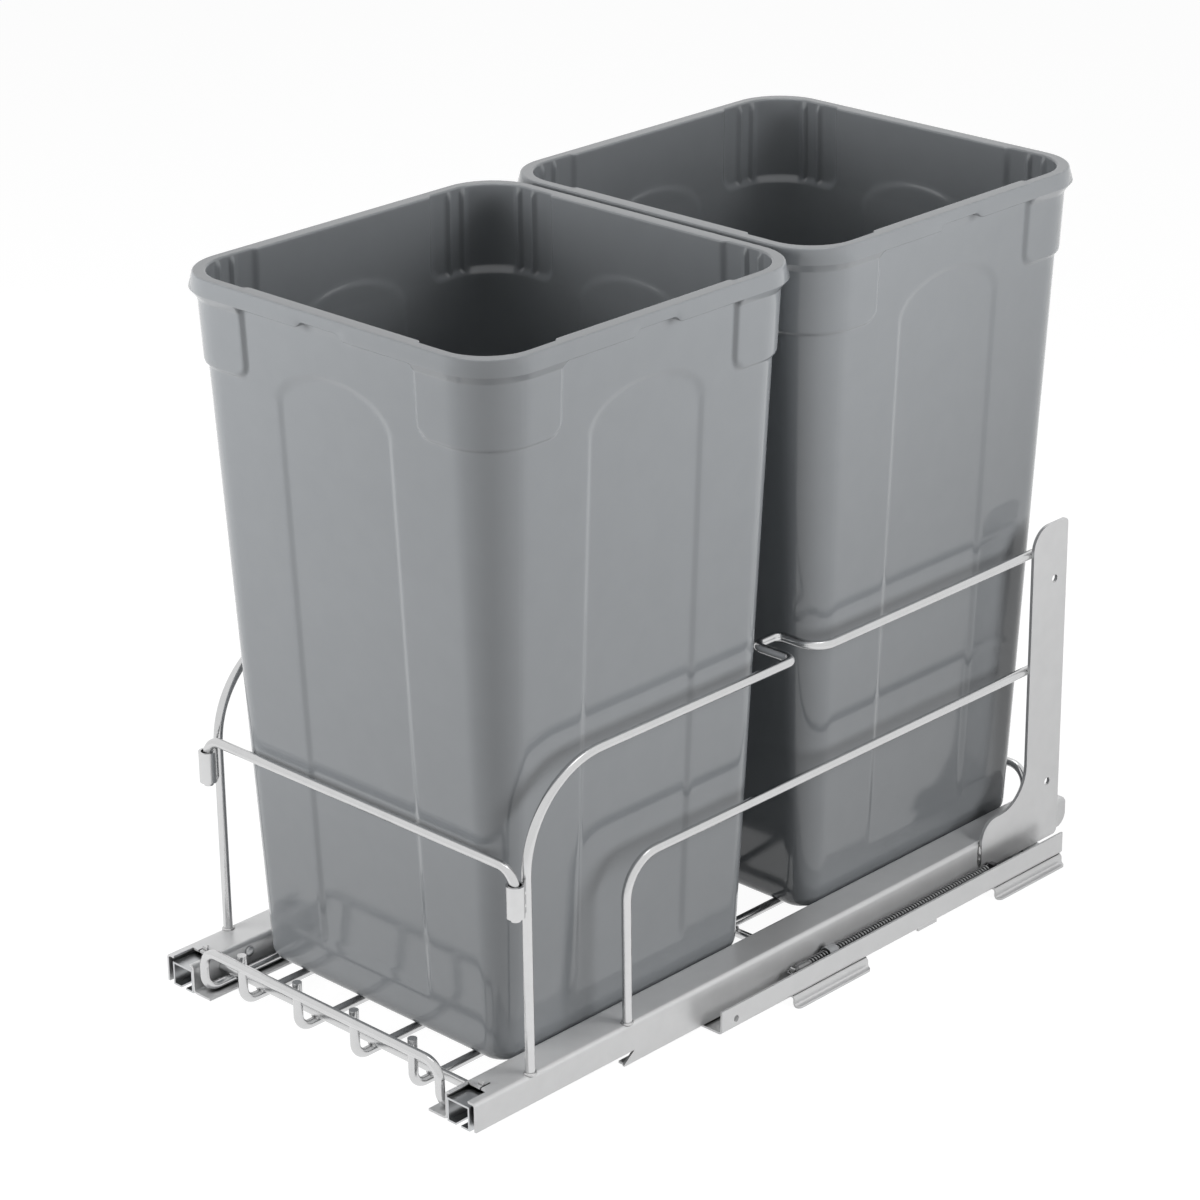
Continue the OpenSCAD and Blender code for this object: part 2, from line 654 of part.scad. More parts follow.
module side_rail() {
    mid = rail_sheet / 2;
    band_low = rail_top - rail_h / 2;
    band_top = band_low + rail_sheet;
    skirt_low = rail_top - skirt_h;
    wall_low = rail_top - rail_h;
    notch_y = rail_y - notch_l;
    color("silver") difference() {
        union() {
            along_y(-rail_y, rail_y) bent_sheet([
                [rail_x - mid, band_low],
                [rail_x - mid, rail_top - mid],
                [inner_wall_x + mid, rail_top - mid],
                [inner_wall_x + mid, flange_top - mid],
                [flange_tip_x, flange_top - mid]], rail_sheet);
            along_x(rail_x - rail_sheet, rail_x) polygon([
                [-rail_y, band_top], [-rail_y, wall_low], [skirt_front, wall_low],
                [skirt_front, skirt_low], [skirt_rear, skirt_low], [skirt_rear, skirt_low + skirt_nose],
                [skirt_rear - skirt_slant, wall_low], [rail_y, wall_low], [rail_y, band_top]]);
            block([rail_x - skirt_return, skirt_front, skirt_low],
                [rail_x - rail_sheet, skirt_rear - skirt_nose, skirt_low + rail_sheet]);
            block([runner_x - tab_w / 2, notch_y - tab_l / 2, rail_top],
                [runner_x + tab_w / 2, notch_y - tab_l / 2 + rail_sheet, rail_top + tab_h]);
        }
        block([inner_wall_x + notch_lip, notch_y, rail_top - 2 * rail_sheet],
            [rail_x - notch_lip - wire_r, rail_y + cut_over, rail_top + cut_over]);
        block([runner_x + tab_w / 2, notch_y - tab_l, rail_top - 2 * rail_sheet],
            [runner_x + tab_w / 2 + tongue_slot_w, notch_y + cut_over, rail_top + cut_over]);
        along_x(rail_x - 2 * rail_sheet, rail_x + cut_over) difference() {
            translate([-rail_y - cut_over, wall_low - cut_over]) square(rail_toe_r + cut_over);
            translate([-rail_y + rail_toe_r, wall_low + rail_toe_r]) circle(rail_toe_r);
        }
        rivet_holes();
    }
}

// Quarter arc of radius r round c from angle a0 to a1
function arc(c, r, a0, a1) = [for (k = [0 : 2 * bend_steps])
    let (a = a0 + (a1 - a0) * k / (2 * bend_steps)) c + r * [cos(a), sin(a)]];

module door_plate() {
    low = rail_top - plate_drop;
    top = rail_top + plate_h;
    foot_top = rail_top + plate_foot_h;
    heel = plate_y + plate_foot_l;
    upright = plate_y + plate_w;
    color("silver") difference() {
        along_x(rail_x, plate_x) polygon(concat(
            arc([plate_y + plate_lug_r, low + plate_lug_r], plate_lug_r, 180, 270),
            arc([heel - plate_lug_r, low + plate_lug_r], plate_lug_r, 270, 360),
            arc([heel - plate_foot_h, foot_top - plate_foot_h], plate_foot_h, 0, 90),
            arc([upright + plate_blend_r, foot_top + plate_blend_r], plate_blend_r, 270, 180),
            arc([upright - plate_corner_r, top - plate_corner_r], plate_corner_r, 0, 90),
            arc([plate_y + plate_lug_r, top - plate_lug_r], plate_lug_r, 90, 180)));
        for (k = [0, 1])
            translate([rail_x - cut_over, plate_y + door_hole_inset,
                rail_top + door_hole_low + k * door_hole_pitch])
                rotate([0, 90, 0]) cylinder(r = door_hole_r, h = plate_t + 2 * cut_over);
    }
}

module upper_side_wire() {
    in_x = wire_x - loop_depth;
    color("whitesmoke") bent_wire([
        [wire_x, post_y, rail_top],
        [wire_x, post_y, upper_z],
        [wire_x, loop_y + loop_half, upper_z],
        [in_x, loop_y + loop_half, upper_z],
        [in_x, loop_y - loop_half, upper_z],
        [wire_x, loop_y - loop_half, upper_z],
        [wire_x, wire_end_y, upper_z]],
        [upper_bend_r, loop_r, loop_r, loop_r, loop_wide_r]);
}

module lower_side_wire() {
    color("whitesmoke") bent_wire([
        [wire_x, lower_post_y, rail_top],
        [wire_x, lower_post_y, lower_z],
        [wire_x, wire_end_y, lower_z]],
        [lower_bend_r]);
}

module bar_sleeve() {
    color("lightgray") difference() {
        union() {
            translate([wire_x, bar_y, sleeve_low]) cylinder(r = sleeve_r, h = sleeve_l);
            for (k = nub_places)
                translate([wire_x, bar_y, sleeve_low + k * sleeve_l]) rotate([90, 0, 0])
                    cylinder(r = nub_r, h = bar_y - post_y);
        }
        translate([wire_x, bar_y, sleeve_low - cut_over])
            cylinder(r = sleeve_bore_r, h = sleeve_l + 2 * cut_over);
        translate([wire_x, post_y, sleeve_low - cut_over])
            cylinder(r = wire_r, h = sleeve_l + 2 * cut_over, $fn = wire_fn);
    }
}

module lip_wire() {
    color("whitesmoke") bent_wire([
        [lip_run_x, lip_y - lip_run_l, tray_z],
        [lip_run_x, lip_y, tray_z],
        [lip_run_x, lip_y, lip_z],
        [-lip_run_x, lip_y, lip_z],
        [-lip_run_x, lip_y, tray_z],
        [-lip_run_x, lip_y - lip_run_l, tray_z]],
        [lip_foot_r, lip_bend_r, lip_bend_r, lip_foot_r]);
}

module rear_lip_wire() { lip_wire(); }
module front_lip_wire() { mirror([0, 1, 0]) lip_wire(); }

// Long tray wire, number 1 at the left
module tray_wire(number) {
    x = (number - (tray_wires + 1) / 2) * tray_pitch;
    color("whitesmoke") bent_wire([
        [x, stub_y, lip_z + stub_over],
        [x, stub_y, tray_z],
        [x, -stub_y, tray_z],
        [x, -stub_y, lip_z + stub_over]],
        [tray_bend_r, tray_bend_r]);
}

// Cross wire that reaches to half on both sides
module cross_wire(half, y, z) {
    color("whitesmoke") bent_wire([[-half, y, z], [half, y, z]], []);
}

// The rear cross wire lies on the tray wires, behind the bin, and the others under them
module cross_wire_rear() { cross_wire(inner_wall_x, rail_y - rear_cross_inset, rear_cross_z); }
module cross_wire_middle() { cross_wire(flange_tip_x, loop_y, cross_z); }
module cross_wire_front() { cross_wire(flange_tip_x, cross_inset - rail_y, cross_z); }

// Loose pieces

module rear_bar() {
    low = sleeve_low - bar_pin_out;
    color("whitesmoke") bent_wire([
        [wire_x, bar_y, low], [wire_x, bar_y, bar_z],
        [-wire_x, bar_y, bar_z], [-wire_x, bar_y, low]],
        [bar_bend_r, bar_bend_r]);
}

// One level of a bin at height z: rounded rectangle, inset from the rim's outline,
// whose corner panels stand out from the middle of each side
function bin_ring(inset, z, out = 0) =
    let (r = bin_corner_r - (bin_corner_r - base_corner_r) * inset / bin_taper + out)
    let (half = [bin_w / 2, bin_d / 2])
    let (centre = half - (inset - out + r) * [1, 1])
    [for (q = [0 : 3])
        let (sx = q == 0 || q == 3 ? 1 : -1, sy = q < 2 ? 1 : -1)
        let (n = [-sin(90 * q), cos(90 * q)], t = [-cos(90 * q), -sin(90 * q)])
        let (far = abs(n * half) - inset, start = abs(t * half) - panel_w)
        each concat(
            [for (i = [0 : bin_steps]) let (a = 90 * q + 90 * i / bin_steps)
                [sx * centre[0] + r * cos(a), sy * centre[1] + r * sin(a), z]],
            [for (k = [-1, 1], edge = k < 0 ? [1, 0] : [0, 1])
                let (p = n * (far + edge * out) + t * k * (start + edge * panel_slope))
                [p[0], p[1], z]])];

module bin(y) {
    edge_steps = 3;
    rim_low = bin_h - rim_h;
    panel_low = rim_low - panel_h;
    panel_full = panel_low + panel_slope;
    lean = (bin_taper - rim_out) / rim_low;
    function skin(z) = bin_taper - lean * z;
    function edge(r, k) = r * (1 - sin(90 * k / edge_steps));
    function rise(r, k) = r * (1 - cos(90 * k / edge_steps));
    inner_r = bin_edge_r - bin_wall / 2;
    rings = concat(
        [for (k = [0 : edge_steps]) let (z = rise(bin_edge_r, k))
            bin_ring(skin(z) + edge(bin_edge_r, k), z)],
        [bin_ring(skin(panel_low), panel_low), bin_ring(skin(panel_full), panel_full, panel_out),
         bin_ring(rim_out, rim_low, panel_out), bin_ring(-rim_flare, rim_low), bin_ring(0, bin_h),
         bin_ring(rim_w, bin_h, panel_out),
         bin_ring(skin(panel_full) + bin_wall, panel_full, panel_out),
         bin_ring(skin(panel_low) + bin_wall, panel_low)],
        [for (k = [edge_steps : -1 : 0]) let (z = rise(inner_r, k))
            bin_ring(bin_wall + skin(z + bin_wall) + edge(inner_r, k), z + bin_wall)]);
    count = len(rings[0]);
    last = (len(rings) - 1) * count;
    walls = [for (j = [0 : len(rings) - 2], i = [0 : count - 1])
        let (a = j * count + i, b = j * count + (i + 1) % count)
        each [[a, a + count, b], [b, a + count, b + count]]];
    hub = floor(bin_steps / 2);
    caps = [for (i = [1 : count - 2]) let (a = (hub + i) % count, b = (hub + i + 1) % count)
        each [[hub, a, b], [last + hub, last + b, last + a]]];
    color("slategray") translate([0, y, bin_z])
        polyhedron([for (ring = rings) each ring], concat(walls, caps));
}

module bin_rear() { bin(rear_bin_y); }
module bin_front() { bin(front_bin_y); }

left() mounting_channel();  // mounting_channel_left
right() mounting_channel();  // mounting_channel_right
left() cabinet_runner();  // cabinet_runner_left
right() cabinet_runner();  // cabinet_runner_right
left() foot(front_foot_y);  // front_foot_left
right() foot(front_foot_y);  // front_foot_right
left() foot(rear_foot_y);  // rear_foot_left
right() foot(rear_foot_y);  // rear_foot_right
left() foot_rivets();  // foot_rivets_left
right() foot_rivets();  // foot_rivets_right
left() closing_spring();  // closing_spring_left
right() closing_spring();  // closing_spring_right
left() spring_guide();  // spring_guide_left
right() spring_guide();  // spring_guide_right
left() closing_catch();  // closing_catch_left
right() closing_catch();  // closing_catch_right
left() lower_cage();  // lower_cage_left
right() lower_cage();  // lower_cage_right
left() lower_rollers();  // lower_rollers_left
right() lower_rollers();  // lower_rollers_right
left() middle_runner();  // middle_runner_left
right() middle_runner();  // middle_runner_right
left() upper_cage();  // upper_cage_left
right() upper_cage();  // upper_cage_right
left() upper_rollers();  // upper_rollers_left
right() upper_rollers();  // upper_rollers_right
left() drawer_runner();  // drawer_runner_left
right() drawer_runner();  // drawer_runner_right
left() runner_rivet_row();  // runner_rivets_left
right() runner_rivet_row();  // runner_rivets_right
left() side_rail();  // side_rail_left
right() side_rail();  // side_rail_right
left() door_plate();  // door_plate_left
right() door_plate();  // door_plate_right
left() upper_side_wire();  // upper_side_wire_left
right() upper_side_wire();  // upper_side_wire_right
left() lower_side_wire();  // lower_side_wire_left
right() lower_side_wire();  // lower_side_wire_right
left() bar_sleeve();  // bar_sleeve_left
right() bar_sleeve();  // bar_sleeve_right
middle() rear_lip_wire();
middle() front_lip_wire();
middle() tray_wire(1);  // tray_wire_1
middle() tray_wire(2);  // tray_wire_2
middle() tray_wire(3);  // tray_wire_3
middle() tray_wire(4);  // tray_wire_4
middle() cross_wire_rear();
middle() cross_wire_middle();
middle() cross_wire_front();
middle() rear_bar();
middle() bin_rear();
middle() bin_front();
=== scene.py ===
"""Looks of the pull-out bin frame: moulded bins, springs, rivets, welds, finishes, light and camera."""
import json
import math

import bpy
import numpy as np
from mathutils import Matrix, Vector


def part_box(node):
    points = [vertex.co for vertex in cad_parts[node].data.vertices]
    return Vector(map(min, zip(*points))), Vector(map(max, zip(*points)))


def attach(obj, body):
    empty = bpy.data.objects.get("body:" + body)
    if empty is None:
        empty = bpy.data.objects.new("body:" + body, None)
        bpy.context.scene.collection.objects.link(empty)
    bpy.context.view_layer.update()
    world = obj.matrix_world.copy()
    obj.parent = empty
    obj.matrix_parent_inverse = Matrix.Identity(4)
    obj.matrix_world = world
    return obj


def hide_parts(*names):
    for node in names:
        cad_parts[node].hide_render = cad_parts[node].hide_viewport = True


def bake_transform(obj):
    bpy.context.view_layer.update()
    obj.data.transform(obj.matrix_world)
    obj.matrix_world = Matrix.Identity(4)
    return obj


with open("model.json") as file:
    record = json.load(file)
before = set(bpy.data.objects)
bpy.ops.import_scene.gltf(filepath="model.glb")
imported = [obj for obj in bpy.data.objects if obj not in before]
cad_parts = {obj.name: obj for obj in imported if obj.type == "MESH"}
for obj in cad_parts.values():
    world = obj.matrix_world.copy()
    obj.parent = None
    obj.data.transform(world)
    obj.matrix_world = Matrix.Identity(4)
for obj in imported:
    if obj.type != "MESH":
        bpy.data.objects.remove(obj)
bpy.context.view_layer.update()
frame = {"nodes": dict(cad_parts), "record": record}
nodes = frame["nodes"]
body_of_node = {n: b for b, names in frame["record"]["behaviour"]["bodies"].items() for n in names}
slot_of_node = {s["node"]: s["material_slot"] for s in frame["record"]["subparts"]}
scene = bpy.context.scene
SIDES = (("left", -1), ("right", 1))
MM = 0.001

# Camera and stage, in metres

# The photograph's camera: angles in degrees, places from the middle of the rails' top
VIEW_AZIMUTH, VIEW_ELEVATION, VIEW_ROLL = 224.116, 22.618, -0.648
VIEW_DISTANCE, VIEW_SIDE, VIEW_UP = 2.464780, -0.022027, 0.177360
FOCAL_MM, SENSOR_MM = 113.476, 36.0
CLIP_NEAR, CLIP_FAR = 0.1, 50.0
rail_low, rail_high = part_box("side_rail_left")
RAIL_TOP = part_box("upper_side_wire_left")[0].z
RAILS_MIDDLE = Vector((0, (rail_low.y + rail_high.y) / 2, RAIL_TOP))

# Each lamp: place, target, side of its square, watts, and whether shiny surfaces mirror it. The keys and
# the fill aim over the bins, so that the light fades towards the floor
LAMPS = {
    "key_rear": ((0.48, 1.12, 0.66), (0, 0.1, 1.16), 0.9, 15.0, False),
    "key_side": ((-1.10, -0.24, 0.66), (-0.46, 0.67, 1.16), 0.9, 16.5, False),
    "fill_front": ((0.75, -1.20, 0.66), (0.1, 0, 1.16), 0.9, 9.0, False),
    "top": ((0.2, -0.2, 2.2), (0, 0, 0.3), 1.3, 12.0, True),
}
# The floor is matt and grey to the lamps, and lifted nearly to white where it is seen or mirrored
WHITE, FLOOR_COLOUR = (1, 1, 1, 1), (0.20, 0.20, 0.20, 1)
WORLD_LIGHT, FLOOR_LIFT, FLOOR_HALF = 0.05, 0.95, 6.0


def make_camera():
    a, e, r = (math.radians(v) for v in (VIEW_AZIMUTH, VIEW_ELEVATION, VIEW_ROLL))
    back = Vector((math.sin(a) * math.cos(e), -math.cos(a) * math.cos(e), math.sin(e)))
    right = (-back).cross(Vector((0, 0, 1))).normalized()
    up = right.cross(-back)
    right, up = right * math.cos(r) + up * math.sin(r), up * math.cos(r) - right * math.sin(r)
    data = bpy.data.cameras.new("camera")
    data.lens, data.sensor_width = FOCAL_MM, SENSOR_MM
    data.clip_start, data.clip_end = CLIP_NEAR, CLIP_FAR
    camera = bpy.data.objects.new("camera", data)
    place = back * VIEW_DISTANCE + right * VIEW_SIDE + up * VIEW_UP + RAILS_MIDDLE
    camera.matrix_world = Matrix.Translation(place) @ Matrix((right, up, back)).transposed().to_4x4()
    scene.collection.objects.link(camera)
    scene.camera = camera


def area_light(name, place, target, size, watts, mirrored):
    data = bpy.data.lights.new(name, "AREA")
    data.shape, data.size, data.energy = "SQUARE", size, watts
    lamp = bpy.data.objects.new(name, data)
    lamp.location = place
    lamp.visible_glossy = mirrored
    lamp.rotation_mode = "QUATERNION"
    lamp.rotation_quaternion = (Vector(target) - Vector(place)).to_track_quat("-Z", "Y")
    scene.collection.objects.link(lamp)


def shader_node(tree, kind, operation=None):
    new = tree.nodes.new("ShaderNode" + kind)
    if operation:
        new.operation = operation
    return new


def seen_share(tree):
    """1 for rays that show the background: from the camera, by reflection or by transmission."""
    path = shader_node(tree, "LightPath")
    first, second = shader_node(tree, "Math", "MAXIMUM"), shader_node(tree, "Math", "MAXIMUM")
    tree.links.new(path.outputs["Is Camera Ray"], first.inputs[0])
    tree.links.new(path.outputs["Is Glossy Ray"], first.inputs[1])
    tree.links.new(first.outputs[0], second.inputs[0])
    tree.links.new(path.outputs["Is Transmission Ray"], second.inputs[1])
    return second.outputs[0]


def make_world():
    """White where it is seen, and a faint even light otherwise."""
    world = bpy.data.worlds.new("studio")
    scene.world = world
    world.use_nodes = True
    tree = world.node_tree
    light = tree.nodes["Background"]
    light.inputs["Strength"].default_value = WORLD_LIGHT
    light.inputs["Color"].default_value = WHITE
    seen = shader_node(tree, "Background")
    seen.inputs["Color"].default_value = WHITE
    mix = shader_node(tree, "MixShader")
    tree.links.new(seen_share(tree), mix.inputs[0])
    tree.links.new(light.outputs[0], mix.inputs[1])
    tree.links.new(seen.outputs[0], mix.inputs[2])
    tree.links.new(mix.outputs[0], tree.nodes["World Output"].inputs["Surface"])


def make_floor():
    h = FLOOR_HALF
    mesh = bpy.data.meshes.new("floor")
    mesh.from_pydata([(-h, -h, 0), (h, -h, 0), (h, h, 0), (-h, h, 0)], [], [(0, 1, 2, 3)])
    floor = bpy.data.objects.new("floor", mesh)
    scene.collection.objects.link(floor)
    mat = bpy.data.materials.new("floor")
    mat.use_nodes = True
    tree = mat.node_tree
    tree.nodes.remove(tree.nodes["Principled BSDF"])
    matt = shader_node(tree, "BsdfDiffuse")
    matt.inputs["Color"].default_value = FLOOR_COLOUR
    glow = shader_node(tree, "Emission")
    lift = shader_node(tree, "Math", "MULTIPLY")
    lift.inputs[1].default_value = FLOOR_LIFT
    both = shader_node(tree, "AddShader")
    tree.links.new(seen_share(tree), lift.inputs[0])
    tree.links.new(lift.outputs[0], glow.inputs["Strength"])
    tree.links.new(matt.outputs[0], both.inputs[0])
    tree.links.new(glow.outputs[0], both.inputs[1])
    tree.links.new(both.outputs[0], tree.nodes["Material Output"].inputs["Surface"])
    mesh.materials.append(mat)


make_camera()
make_world()
make_floor()
for lamp_name, lamp_values in LAMPS.items():
    area_light(lamp_name, *lamp_values)
scene.view_settings.view_transform = "Standard"

# Materials: each has fine variation of colour, gloss and relief on object coordinates

# Noise values between which a finish goes from one end of its range to the other, the noises' detail, and
# the gloss noise's scale as a share of the colour noise's
NOISE_LOW, NOISE_HIGH = 0.3, 0.7
COLOUR_DETAIL, GLOSS_DETAIL, RELIEF_DETAIL = 4, 3, 2
GLOSS_COARSER = 0.4
# Painted shade in gaps, which darkens the colour where light is blocked: reach in metres, and the open shares
# at which a finish is darkest and undimmed. Where it is darkest, the share DEEPEST of its colour is left
NARROW, CORNERS, COILS = (0.005, 0.42, 0.74), (0.010, 0.34, 0.52), (0.003, 0.30, 0.80)
DEEPEST, PAINTED_SHADE_SAMPLES = 0.12, 16


def finish_material(name, colour, metallic, rough, mottle, relief, stretch=(1, 1, 1), painted_shade=None, **sockets):
    """colour: base colour; rough: lowest and highest roughness; mottle: scale and share of the colour noise;
    relief: scale, strength and depth in metres of the bump; stretch: scale of the coordinates along X, Y, Z;
    crevice: one of the gaps above, in which the colour is darkened as painted shade."""
    mat = bpy.data.materials.new(name)
    mat.use_nodes = True
    tree = mat.node_tree
    bsdf = tree.nodes["Principled BSDF"]
    bsdf.inputs["Metallic"].default_value = metallic
    for socket, value in sockets.items():
        bsdf.inputs[socket].default_value = value
    place = shader_node(tree, "TexCoord")
    mapping = shader_node(tree, "Mapping")
    mapping.inputs["Scale"].default_value = stretch
    tree.links.new(place.outputs["Object"], mapping.inputs["Vector"])

    def noise(scale, detail):
        tex = shader_node(tree, "TexNoise")
        tex.inputs["Scale"].default_value = scale
        tex.inputs["Detail"].default_value = detail
        tree.links.new(mapping.outputs[0], tex.inputs["Vector"])
        return tex.outputs["Fac"]

    ramp = shader_node(tree, "ValToRGB")
    scale, share = mottle
    ends = zip(ramp.color_ramp.elements, (1 - share, 1 + share), (NOISE_LOW, NOISE_HIGH))
    for stop, k, position in ends:
        stop.color = (*[min(1, c * k) for c in colour], 1)
        stop.position = position
    tree.links.new(noise(scale, COLOUR_DETAIL), ramp.inputs[0])
    tint = ramp.outputs[0]
    # Painted shade: ambient occlusion darkens the base colour in gaps, corners and between parts, where shade
    # falls
    if painted_shade:
        nearby = shader_node(tree, "AmbientOcclusion")
        nearby.samples = PAINTED_SHADE_SAMPLES
        nearby.inputs["Distance"].default_value, darkest, undimmed = painted_shade
        deep = shader_node(tree, "MapRange")
        deep.inputs["From Min"].default_value, deep.inputs["From Max"].default_value = darkest, undimmed
        deep.inputs["To Min"].default_value = DEEPEST
        tree.links.new(nearby.outputs["AO"], deep.inputs["Value"])
        dim = shader_node(tree, "VectorMath", "SCALE")
        tree.links.new(tint, dim.inputs[0])
        tree.links.new(deep.outputs[0], dim.inputs["Scale"])
        tint = dim.outputs[0]
    tree.links.new(tint, bsdf.inputs["Base Color"])
    gloss = shader_node(tree, "MapRange")
    gloss.inputs["From Min"].default_value, gloss.inputs["From Max"].default_value = NOISE_LOW, NOISE_HIGH
    gloss.inputs["To Min"].default_value, gloss.inputs["To Max"].default_value = rough
    tree.links.new(noise(scale * GLOSS_COARSER, GLOSS_DETAIL), gloss.inputs["Value"])
    tree.links.new(gloss.outputs[0], bsdf.inputs["Roughness"])
    scale, strength, depth = relief
    bump = shader_node(tree, "Bump")
    bump.inputs["Strength"].default_value, bump.inputs["Distance"].default_value = strength, depth
    tree.links.new(noise(scale, RELIEF_DETAIL), bump.inputs["Height"])
    tree.links.new(bump.outputs[0], bsdf.inputs["Normal"])
    return mat


# What several finishes share
SATIN = dict(rough=(0.30, 0.36), mottle=(90, 0.02), relief=(500, 0.03, 0.00002))
MOULDED = dict(metallic=0.0, relief=(900, 0.1, 0.0001))
ALONG_Y = (1, 0.06, 1)
materials = {
    "sheet": finish_material("satin_sheet", (0.68, 0.682, 0.685), metallic=0.55, painted_shade=CORNERS, **SATIN),
    "rail": finish_material("satin_rail", (0.76, 0.762, 0.765), metallic=0.35, painted_shade=NARROW, **SATIN),
    "track": finish_material("zinc_track", (0.55, 0.56, 0.57), metallic=1.0, rough=(0.28, 0.38),
                             mottle=(120, 0.05), relief=(500, 0.04, 0.00002), stretch=ALONG_Y,
                             painted_shade=CORNERS),
    "wire": finish_material("bright_wire", (0.62, 0.622, 0.625), metallic=1.0, rough=(0.20, 0.24),
                            mottle=(120, 0.02), relief=(150, 0.01, 0.00002)),
    "spring": finish_material("spring_wire", (0.24, 0.242, 0.245), metallic=1.0, rough=(0.26, 0.34),
                              mottle=(300, 0.04), relief=(800, 0.04, 0.00002), painted_shade=COILS),
    "roller": finish_material("roller_plastic", (0.74, 0.74, 0.72), rough=(0.35, 0.45), mottle=(300, 0.03),
                              **MOULDED),
    "cage": finish_material("cage_plastic", (0.78, 0.78, 0.74), rough=(0.45, 0.55), mottle=(300, 0.03),
                            **MOULDED),
    "guide": finish_material("guide_plastic", (0.42, 0.43, 0.44), rough=(0.25, 0.35), mottle=(300, 0.03),
                             **MOULDED),
    "catch": finish_material("catch_plastic", (0.05, 0.05, 0.055), rough=(0.35, 0.45), mottle=(300, 0.08),
                             **MOULDED),
    "bin": finish_material("bin_plastic", (0.285, 0.300, 0.315), metallic=0.0, rough=(0.08, 0.12),
                           mottle=(60, 0.015), relief=(300, 0.02, 0.00003), IOR=1.55),
    "weld": finish_material("weld_bead", (0.56, 0.56, 0.56), metallic=1.0, rough=(0.22, 0.36),
                            mottle=(500, 0.12), relief=(900, 0.15, 0.0001)),
}
# Nodes whose finish isn't that of their slot, by the start of their name
SPECIAL_FINISH = {"side_rail": "rail", "bar_sleeve": "wire"}
FLAT_FINISHES = ("sheet", "rail", "track")
# Distance in metres within which seams join, angle past which an edge is sharp, and weight of large faces
SEAM, SHARP_ANGLE, BY_AREA = 1e-5, math.radians(32), 100


def even_normals(obj, flat):
    """Seams joined and sharp edges parted; flat sheet also shades flat up to its bends."""
    obj.modifiers.new("weld", "WELD").merge_threshold = SEAM
    part = obj.modifiers.new("part", "EDGE_SPLIT")
    part.split_angle, part.use_edge_sharp = SHARP_ANGLE, False
    if flat:
        obj.modifiers.new("weigh", "WEIGHTED_NORMAL").weight = BY_AREA


for name, obj in nodes.items():
    finish = next((f for start, f in SPECIAL_FINISH.items() if name.startswith(start)), slot_of_node[name])
    obj.data.materials.clear()
    obj.data.materials.append(materials[finish])
    even_normals(obj, finish in FLAT_FINISHES)


def piece(name, verts, faces, slot, finish=None):
    """A new smooth mesh piece from points in metres, with the finish of its slot, or another finish if given.
    """
    mesh = bpy.data.meshes.new(name)
    mesh.from_pydata([tuple(v) for v in verts], [], faces)
    mesh.polygons.foreach_set("use_smooth", [True] * len(mesh.polygons))
    mesh.materials.append(materials[finish or slot])
    obj = bpy.data.objects.new(name, mesh)
    scene.collection.objects.link(obj)
    return obj


# Bins: one moulded skin each, with rim band, corner panels, arched side panels and corner ribs. Sizes in mm

WALL, TAPER, CORNER_R, BASE_R, EDGE_R = 2.5, 26.0, 36.0, 17.0, 9.0
RIM_OUT, RIM_H, RIM_W, RIM_FLARE, RIM_ROUND, RIM_DISH = 4.5, 10.0, 10.0, 2.0, 1.3, 0.5
# Small steps at the rim band's lower edge, and heights over that edge of two rows inside
RIM_FILLET, RIM_BEVEL, RIM_SAG, RIM_INSIDE_ROWS = 0.6, 0.5, 0.2, (6, 2)
PANEL_START, PANEL_OUT, PANEL_DROP, PANEL_R, PANEL_CHAMFER = 72.0, 2.6, 45.5, 9.0, 4.5
PANEL_EDGE, PANEL_EDGE_INSIDE, PANEL_SLOPE = 1.3, 2.4, 2.0
ARCH_HALF, ARCH_RISE, ARCH_TOP_DROP, ARCH_FOOT, ARCH_IN, ARCH_EDGE = 46.5, 24.5, 40.0, 34.0, 1.3, 2.2
NOTCH_HALF, NOTCH_SLOPE, NOTCH_H = 17.0, 6.0, 3.8
# Inner ribs: place on a side, angle on a corner, section, and where they fade out, at the foot from the
# corner panel's lower edge and at the top from the rim band's
RIB_AT, RIB_ANGLE, RIB_HALF, RIB_SLOPE, RIB_IN = 90.7, 10.8, 1.1, 0.7, 1.9
RIB_FOOT, RIB_FOOT_SLOPE, RIB_TOP, RIB_TOP_SLOPE = 1, 4.0, 8, 2.0
# Rows under the base, as share of its outline and height, and the share of the inner floor's last row
BASE_RECESS, FLOOR_SHARE = ((0.80, 2.0), (0.86, 2.0), (0.88, 0.0)), 0.85
# Columns from a side's middle to its end and angles of half a corner, closer where notch, arch, panel and
# ribs begin; columns past STRETCH_FROM shift with the taper, so that they end where the corner begins, and
# a corner's columns count as PAST_SIDES, which is clear of notch and arch
SIDE_COLUMNS = [0, 4, 8, 12, 14, 15.4, 17, 18.6, 20, 24, 28, 32, 36, 39, 41.5, 43, 44.5, 46, 47.5, 49, 51,
                57, 64, 68, 69.5, 70.5, 71.5, 72.5, 73.5, 75, 78, 81, 85]
LAST_COLUMN, STRETCH_FROM, PAST_SIDES = 95, 77.0, 1000.0
CORNER_ANGLES = [0, 4, 20, 28, 36.5, 45]
# Heights of the skin's rows, closer over the arch's top and the panels' lower edge
ROW_HEIGHTS = [14, 20, 26, 30, 34, 38, 60, 110, 170, 230, 290, 340, 370, 382, 389, 391,
               *np.arange(393, 416.5, 1.25), 418, 423, 431, 438]
ROUND_STEPS = 5


def smooth_step(t):
    t = np.clip(t, 0, 1)
    return t * t * (3 - 2 * t)


def rib_share(apart):
    """1 on a rib, 0 beside it, for a distance from its middle."""
    return smooth_step((RIB_HALF + RIB_SLOPE - np.abs(apart)) / RIB_SLOPE)


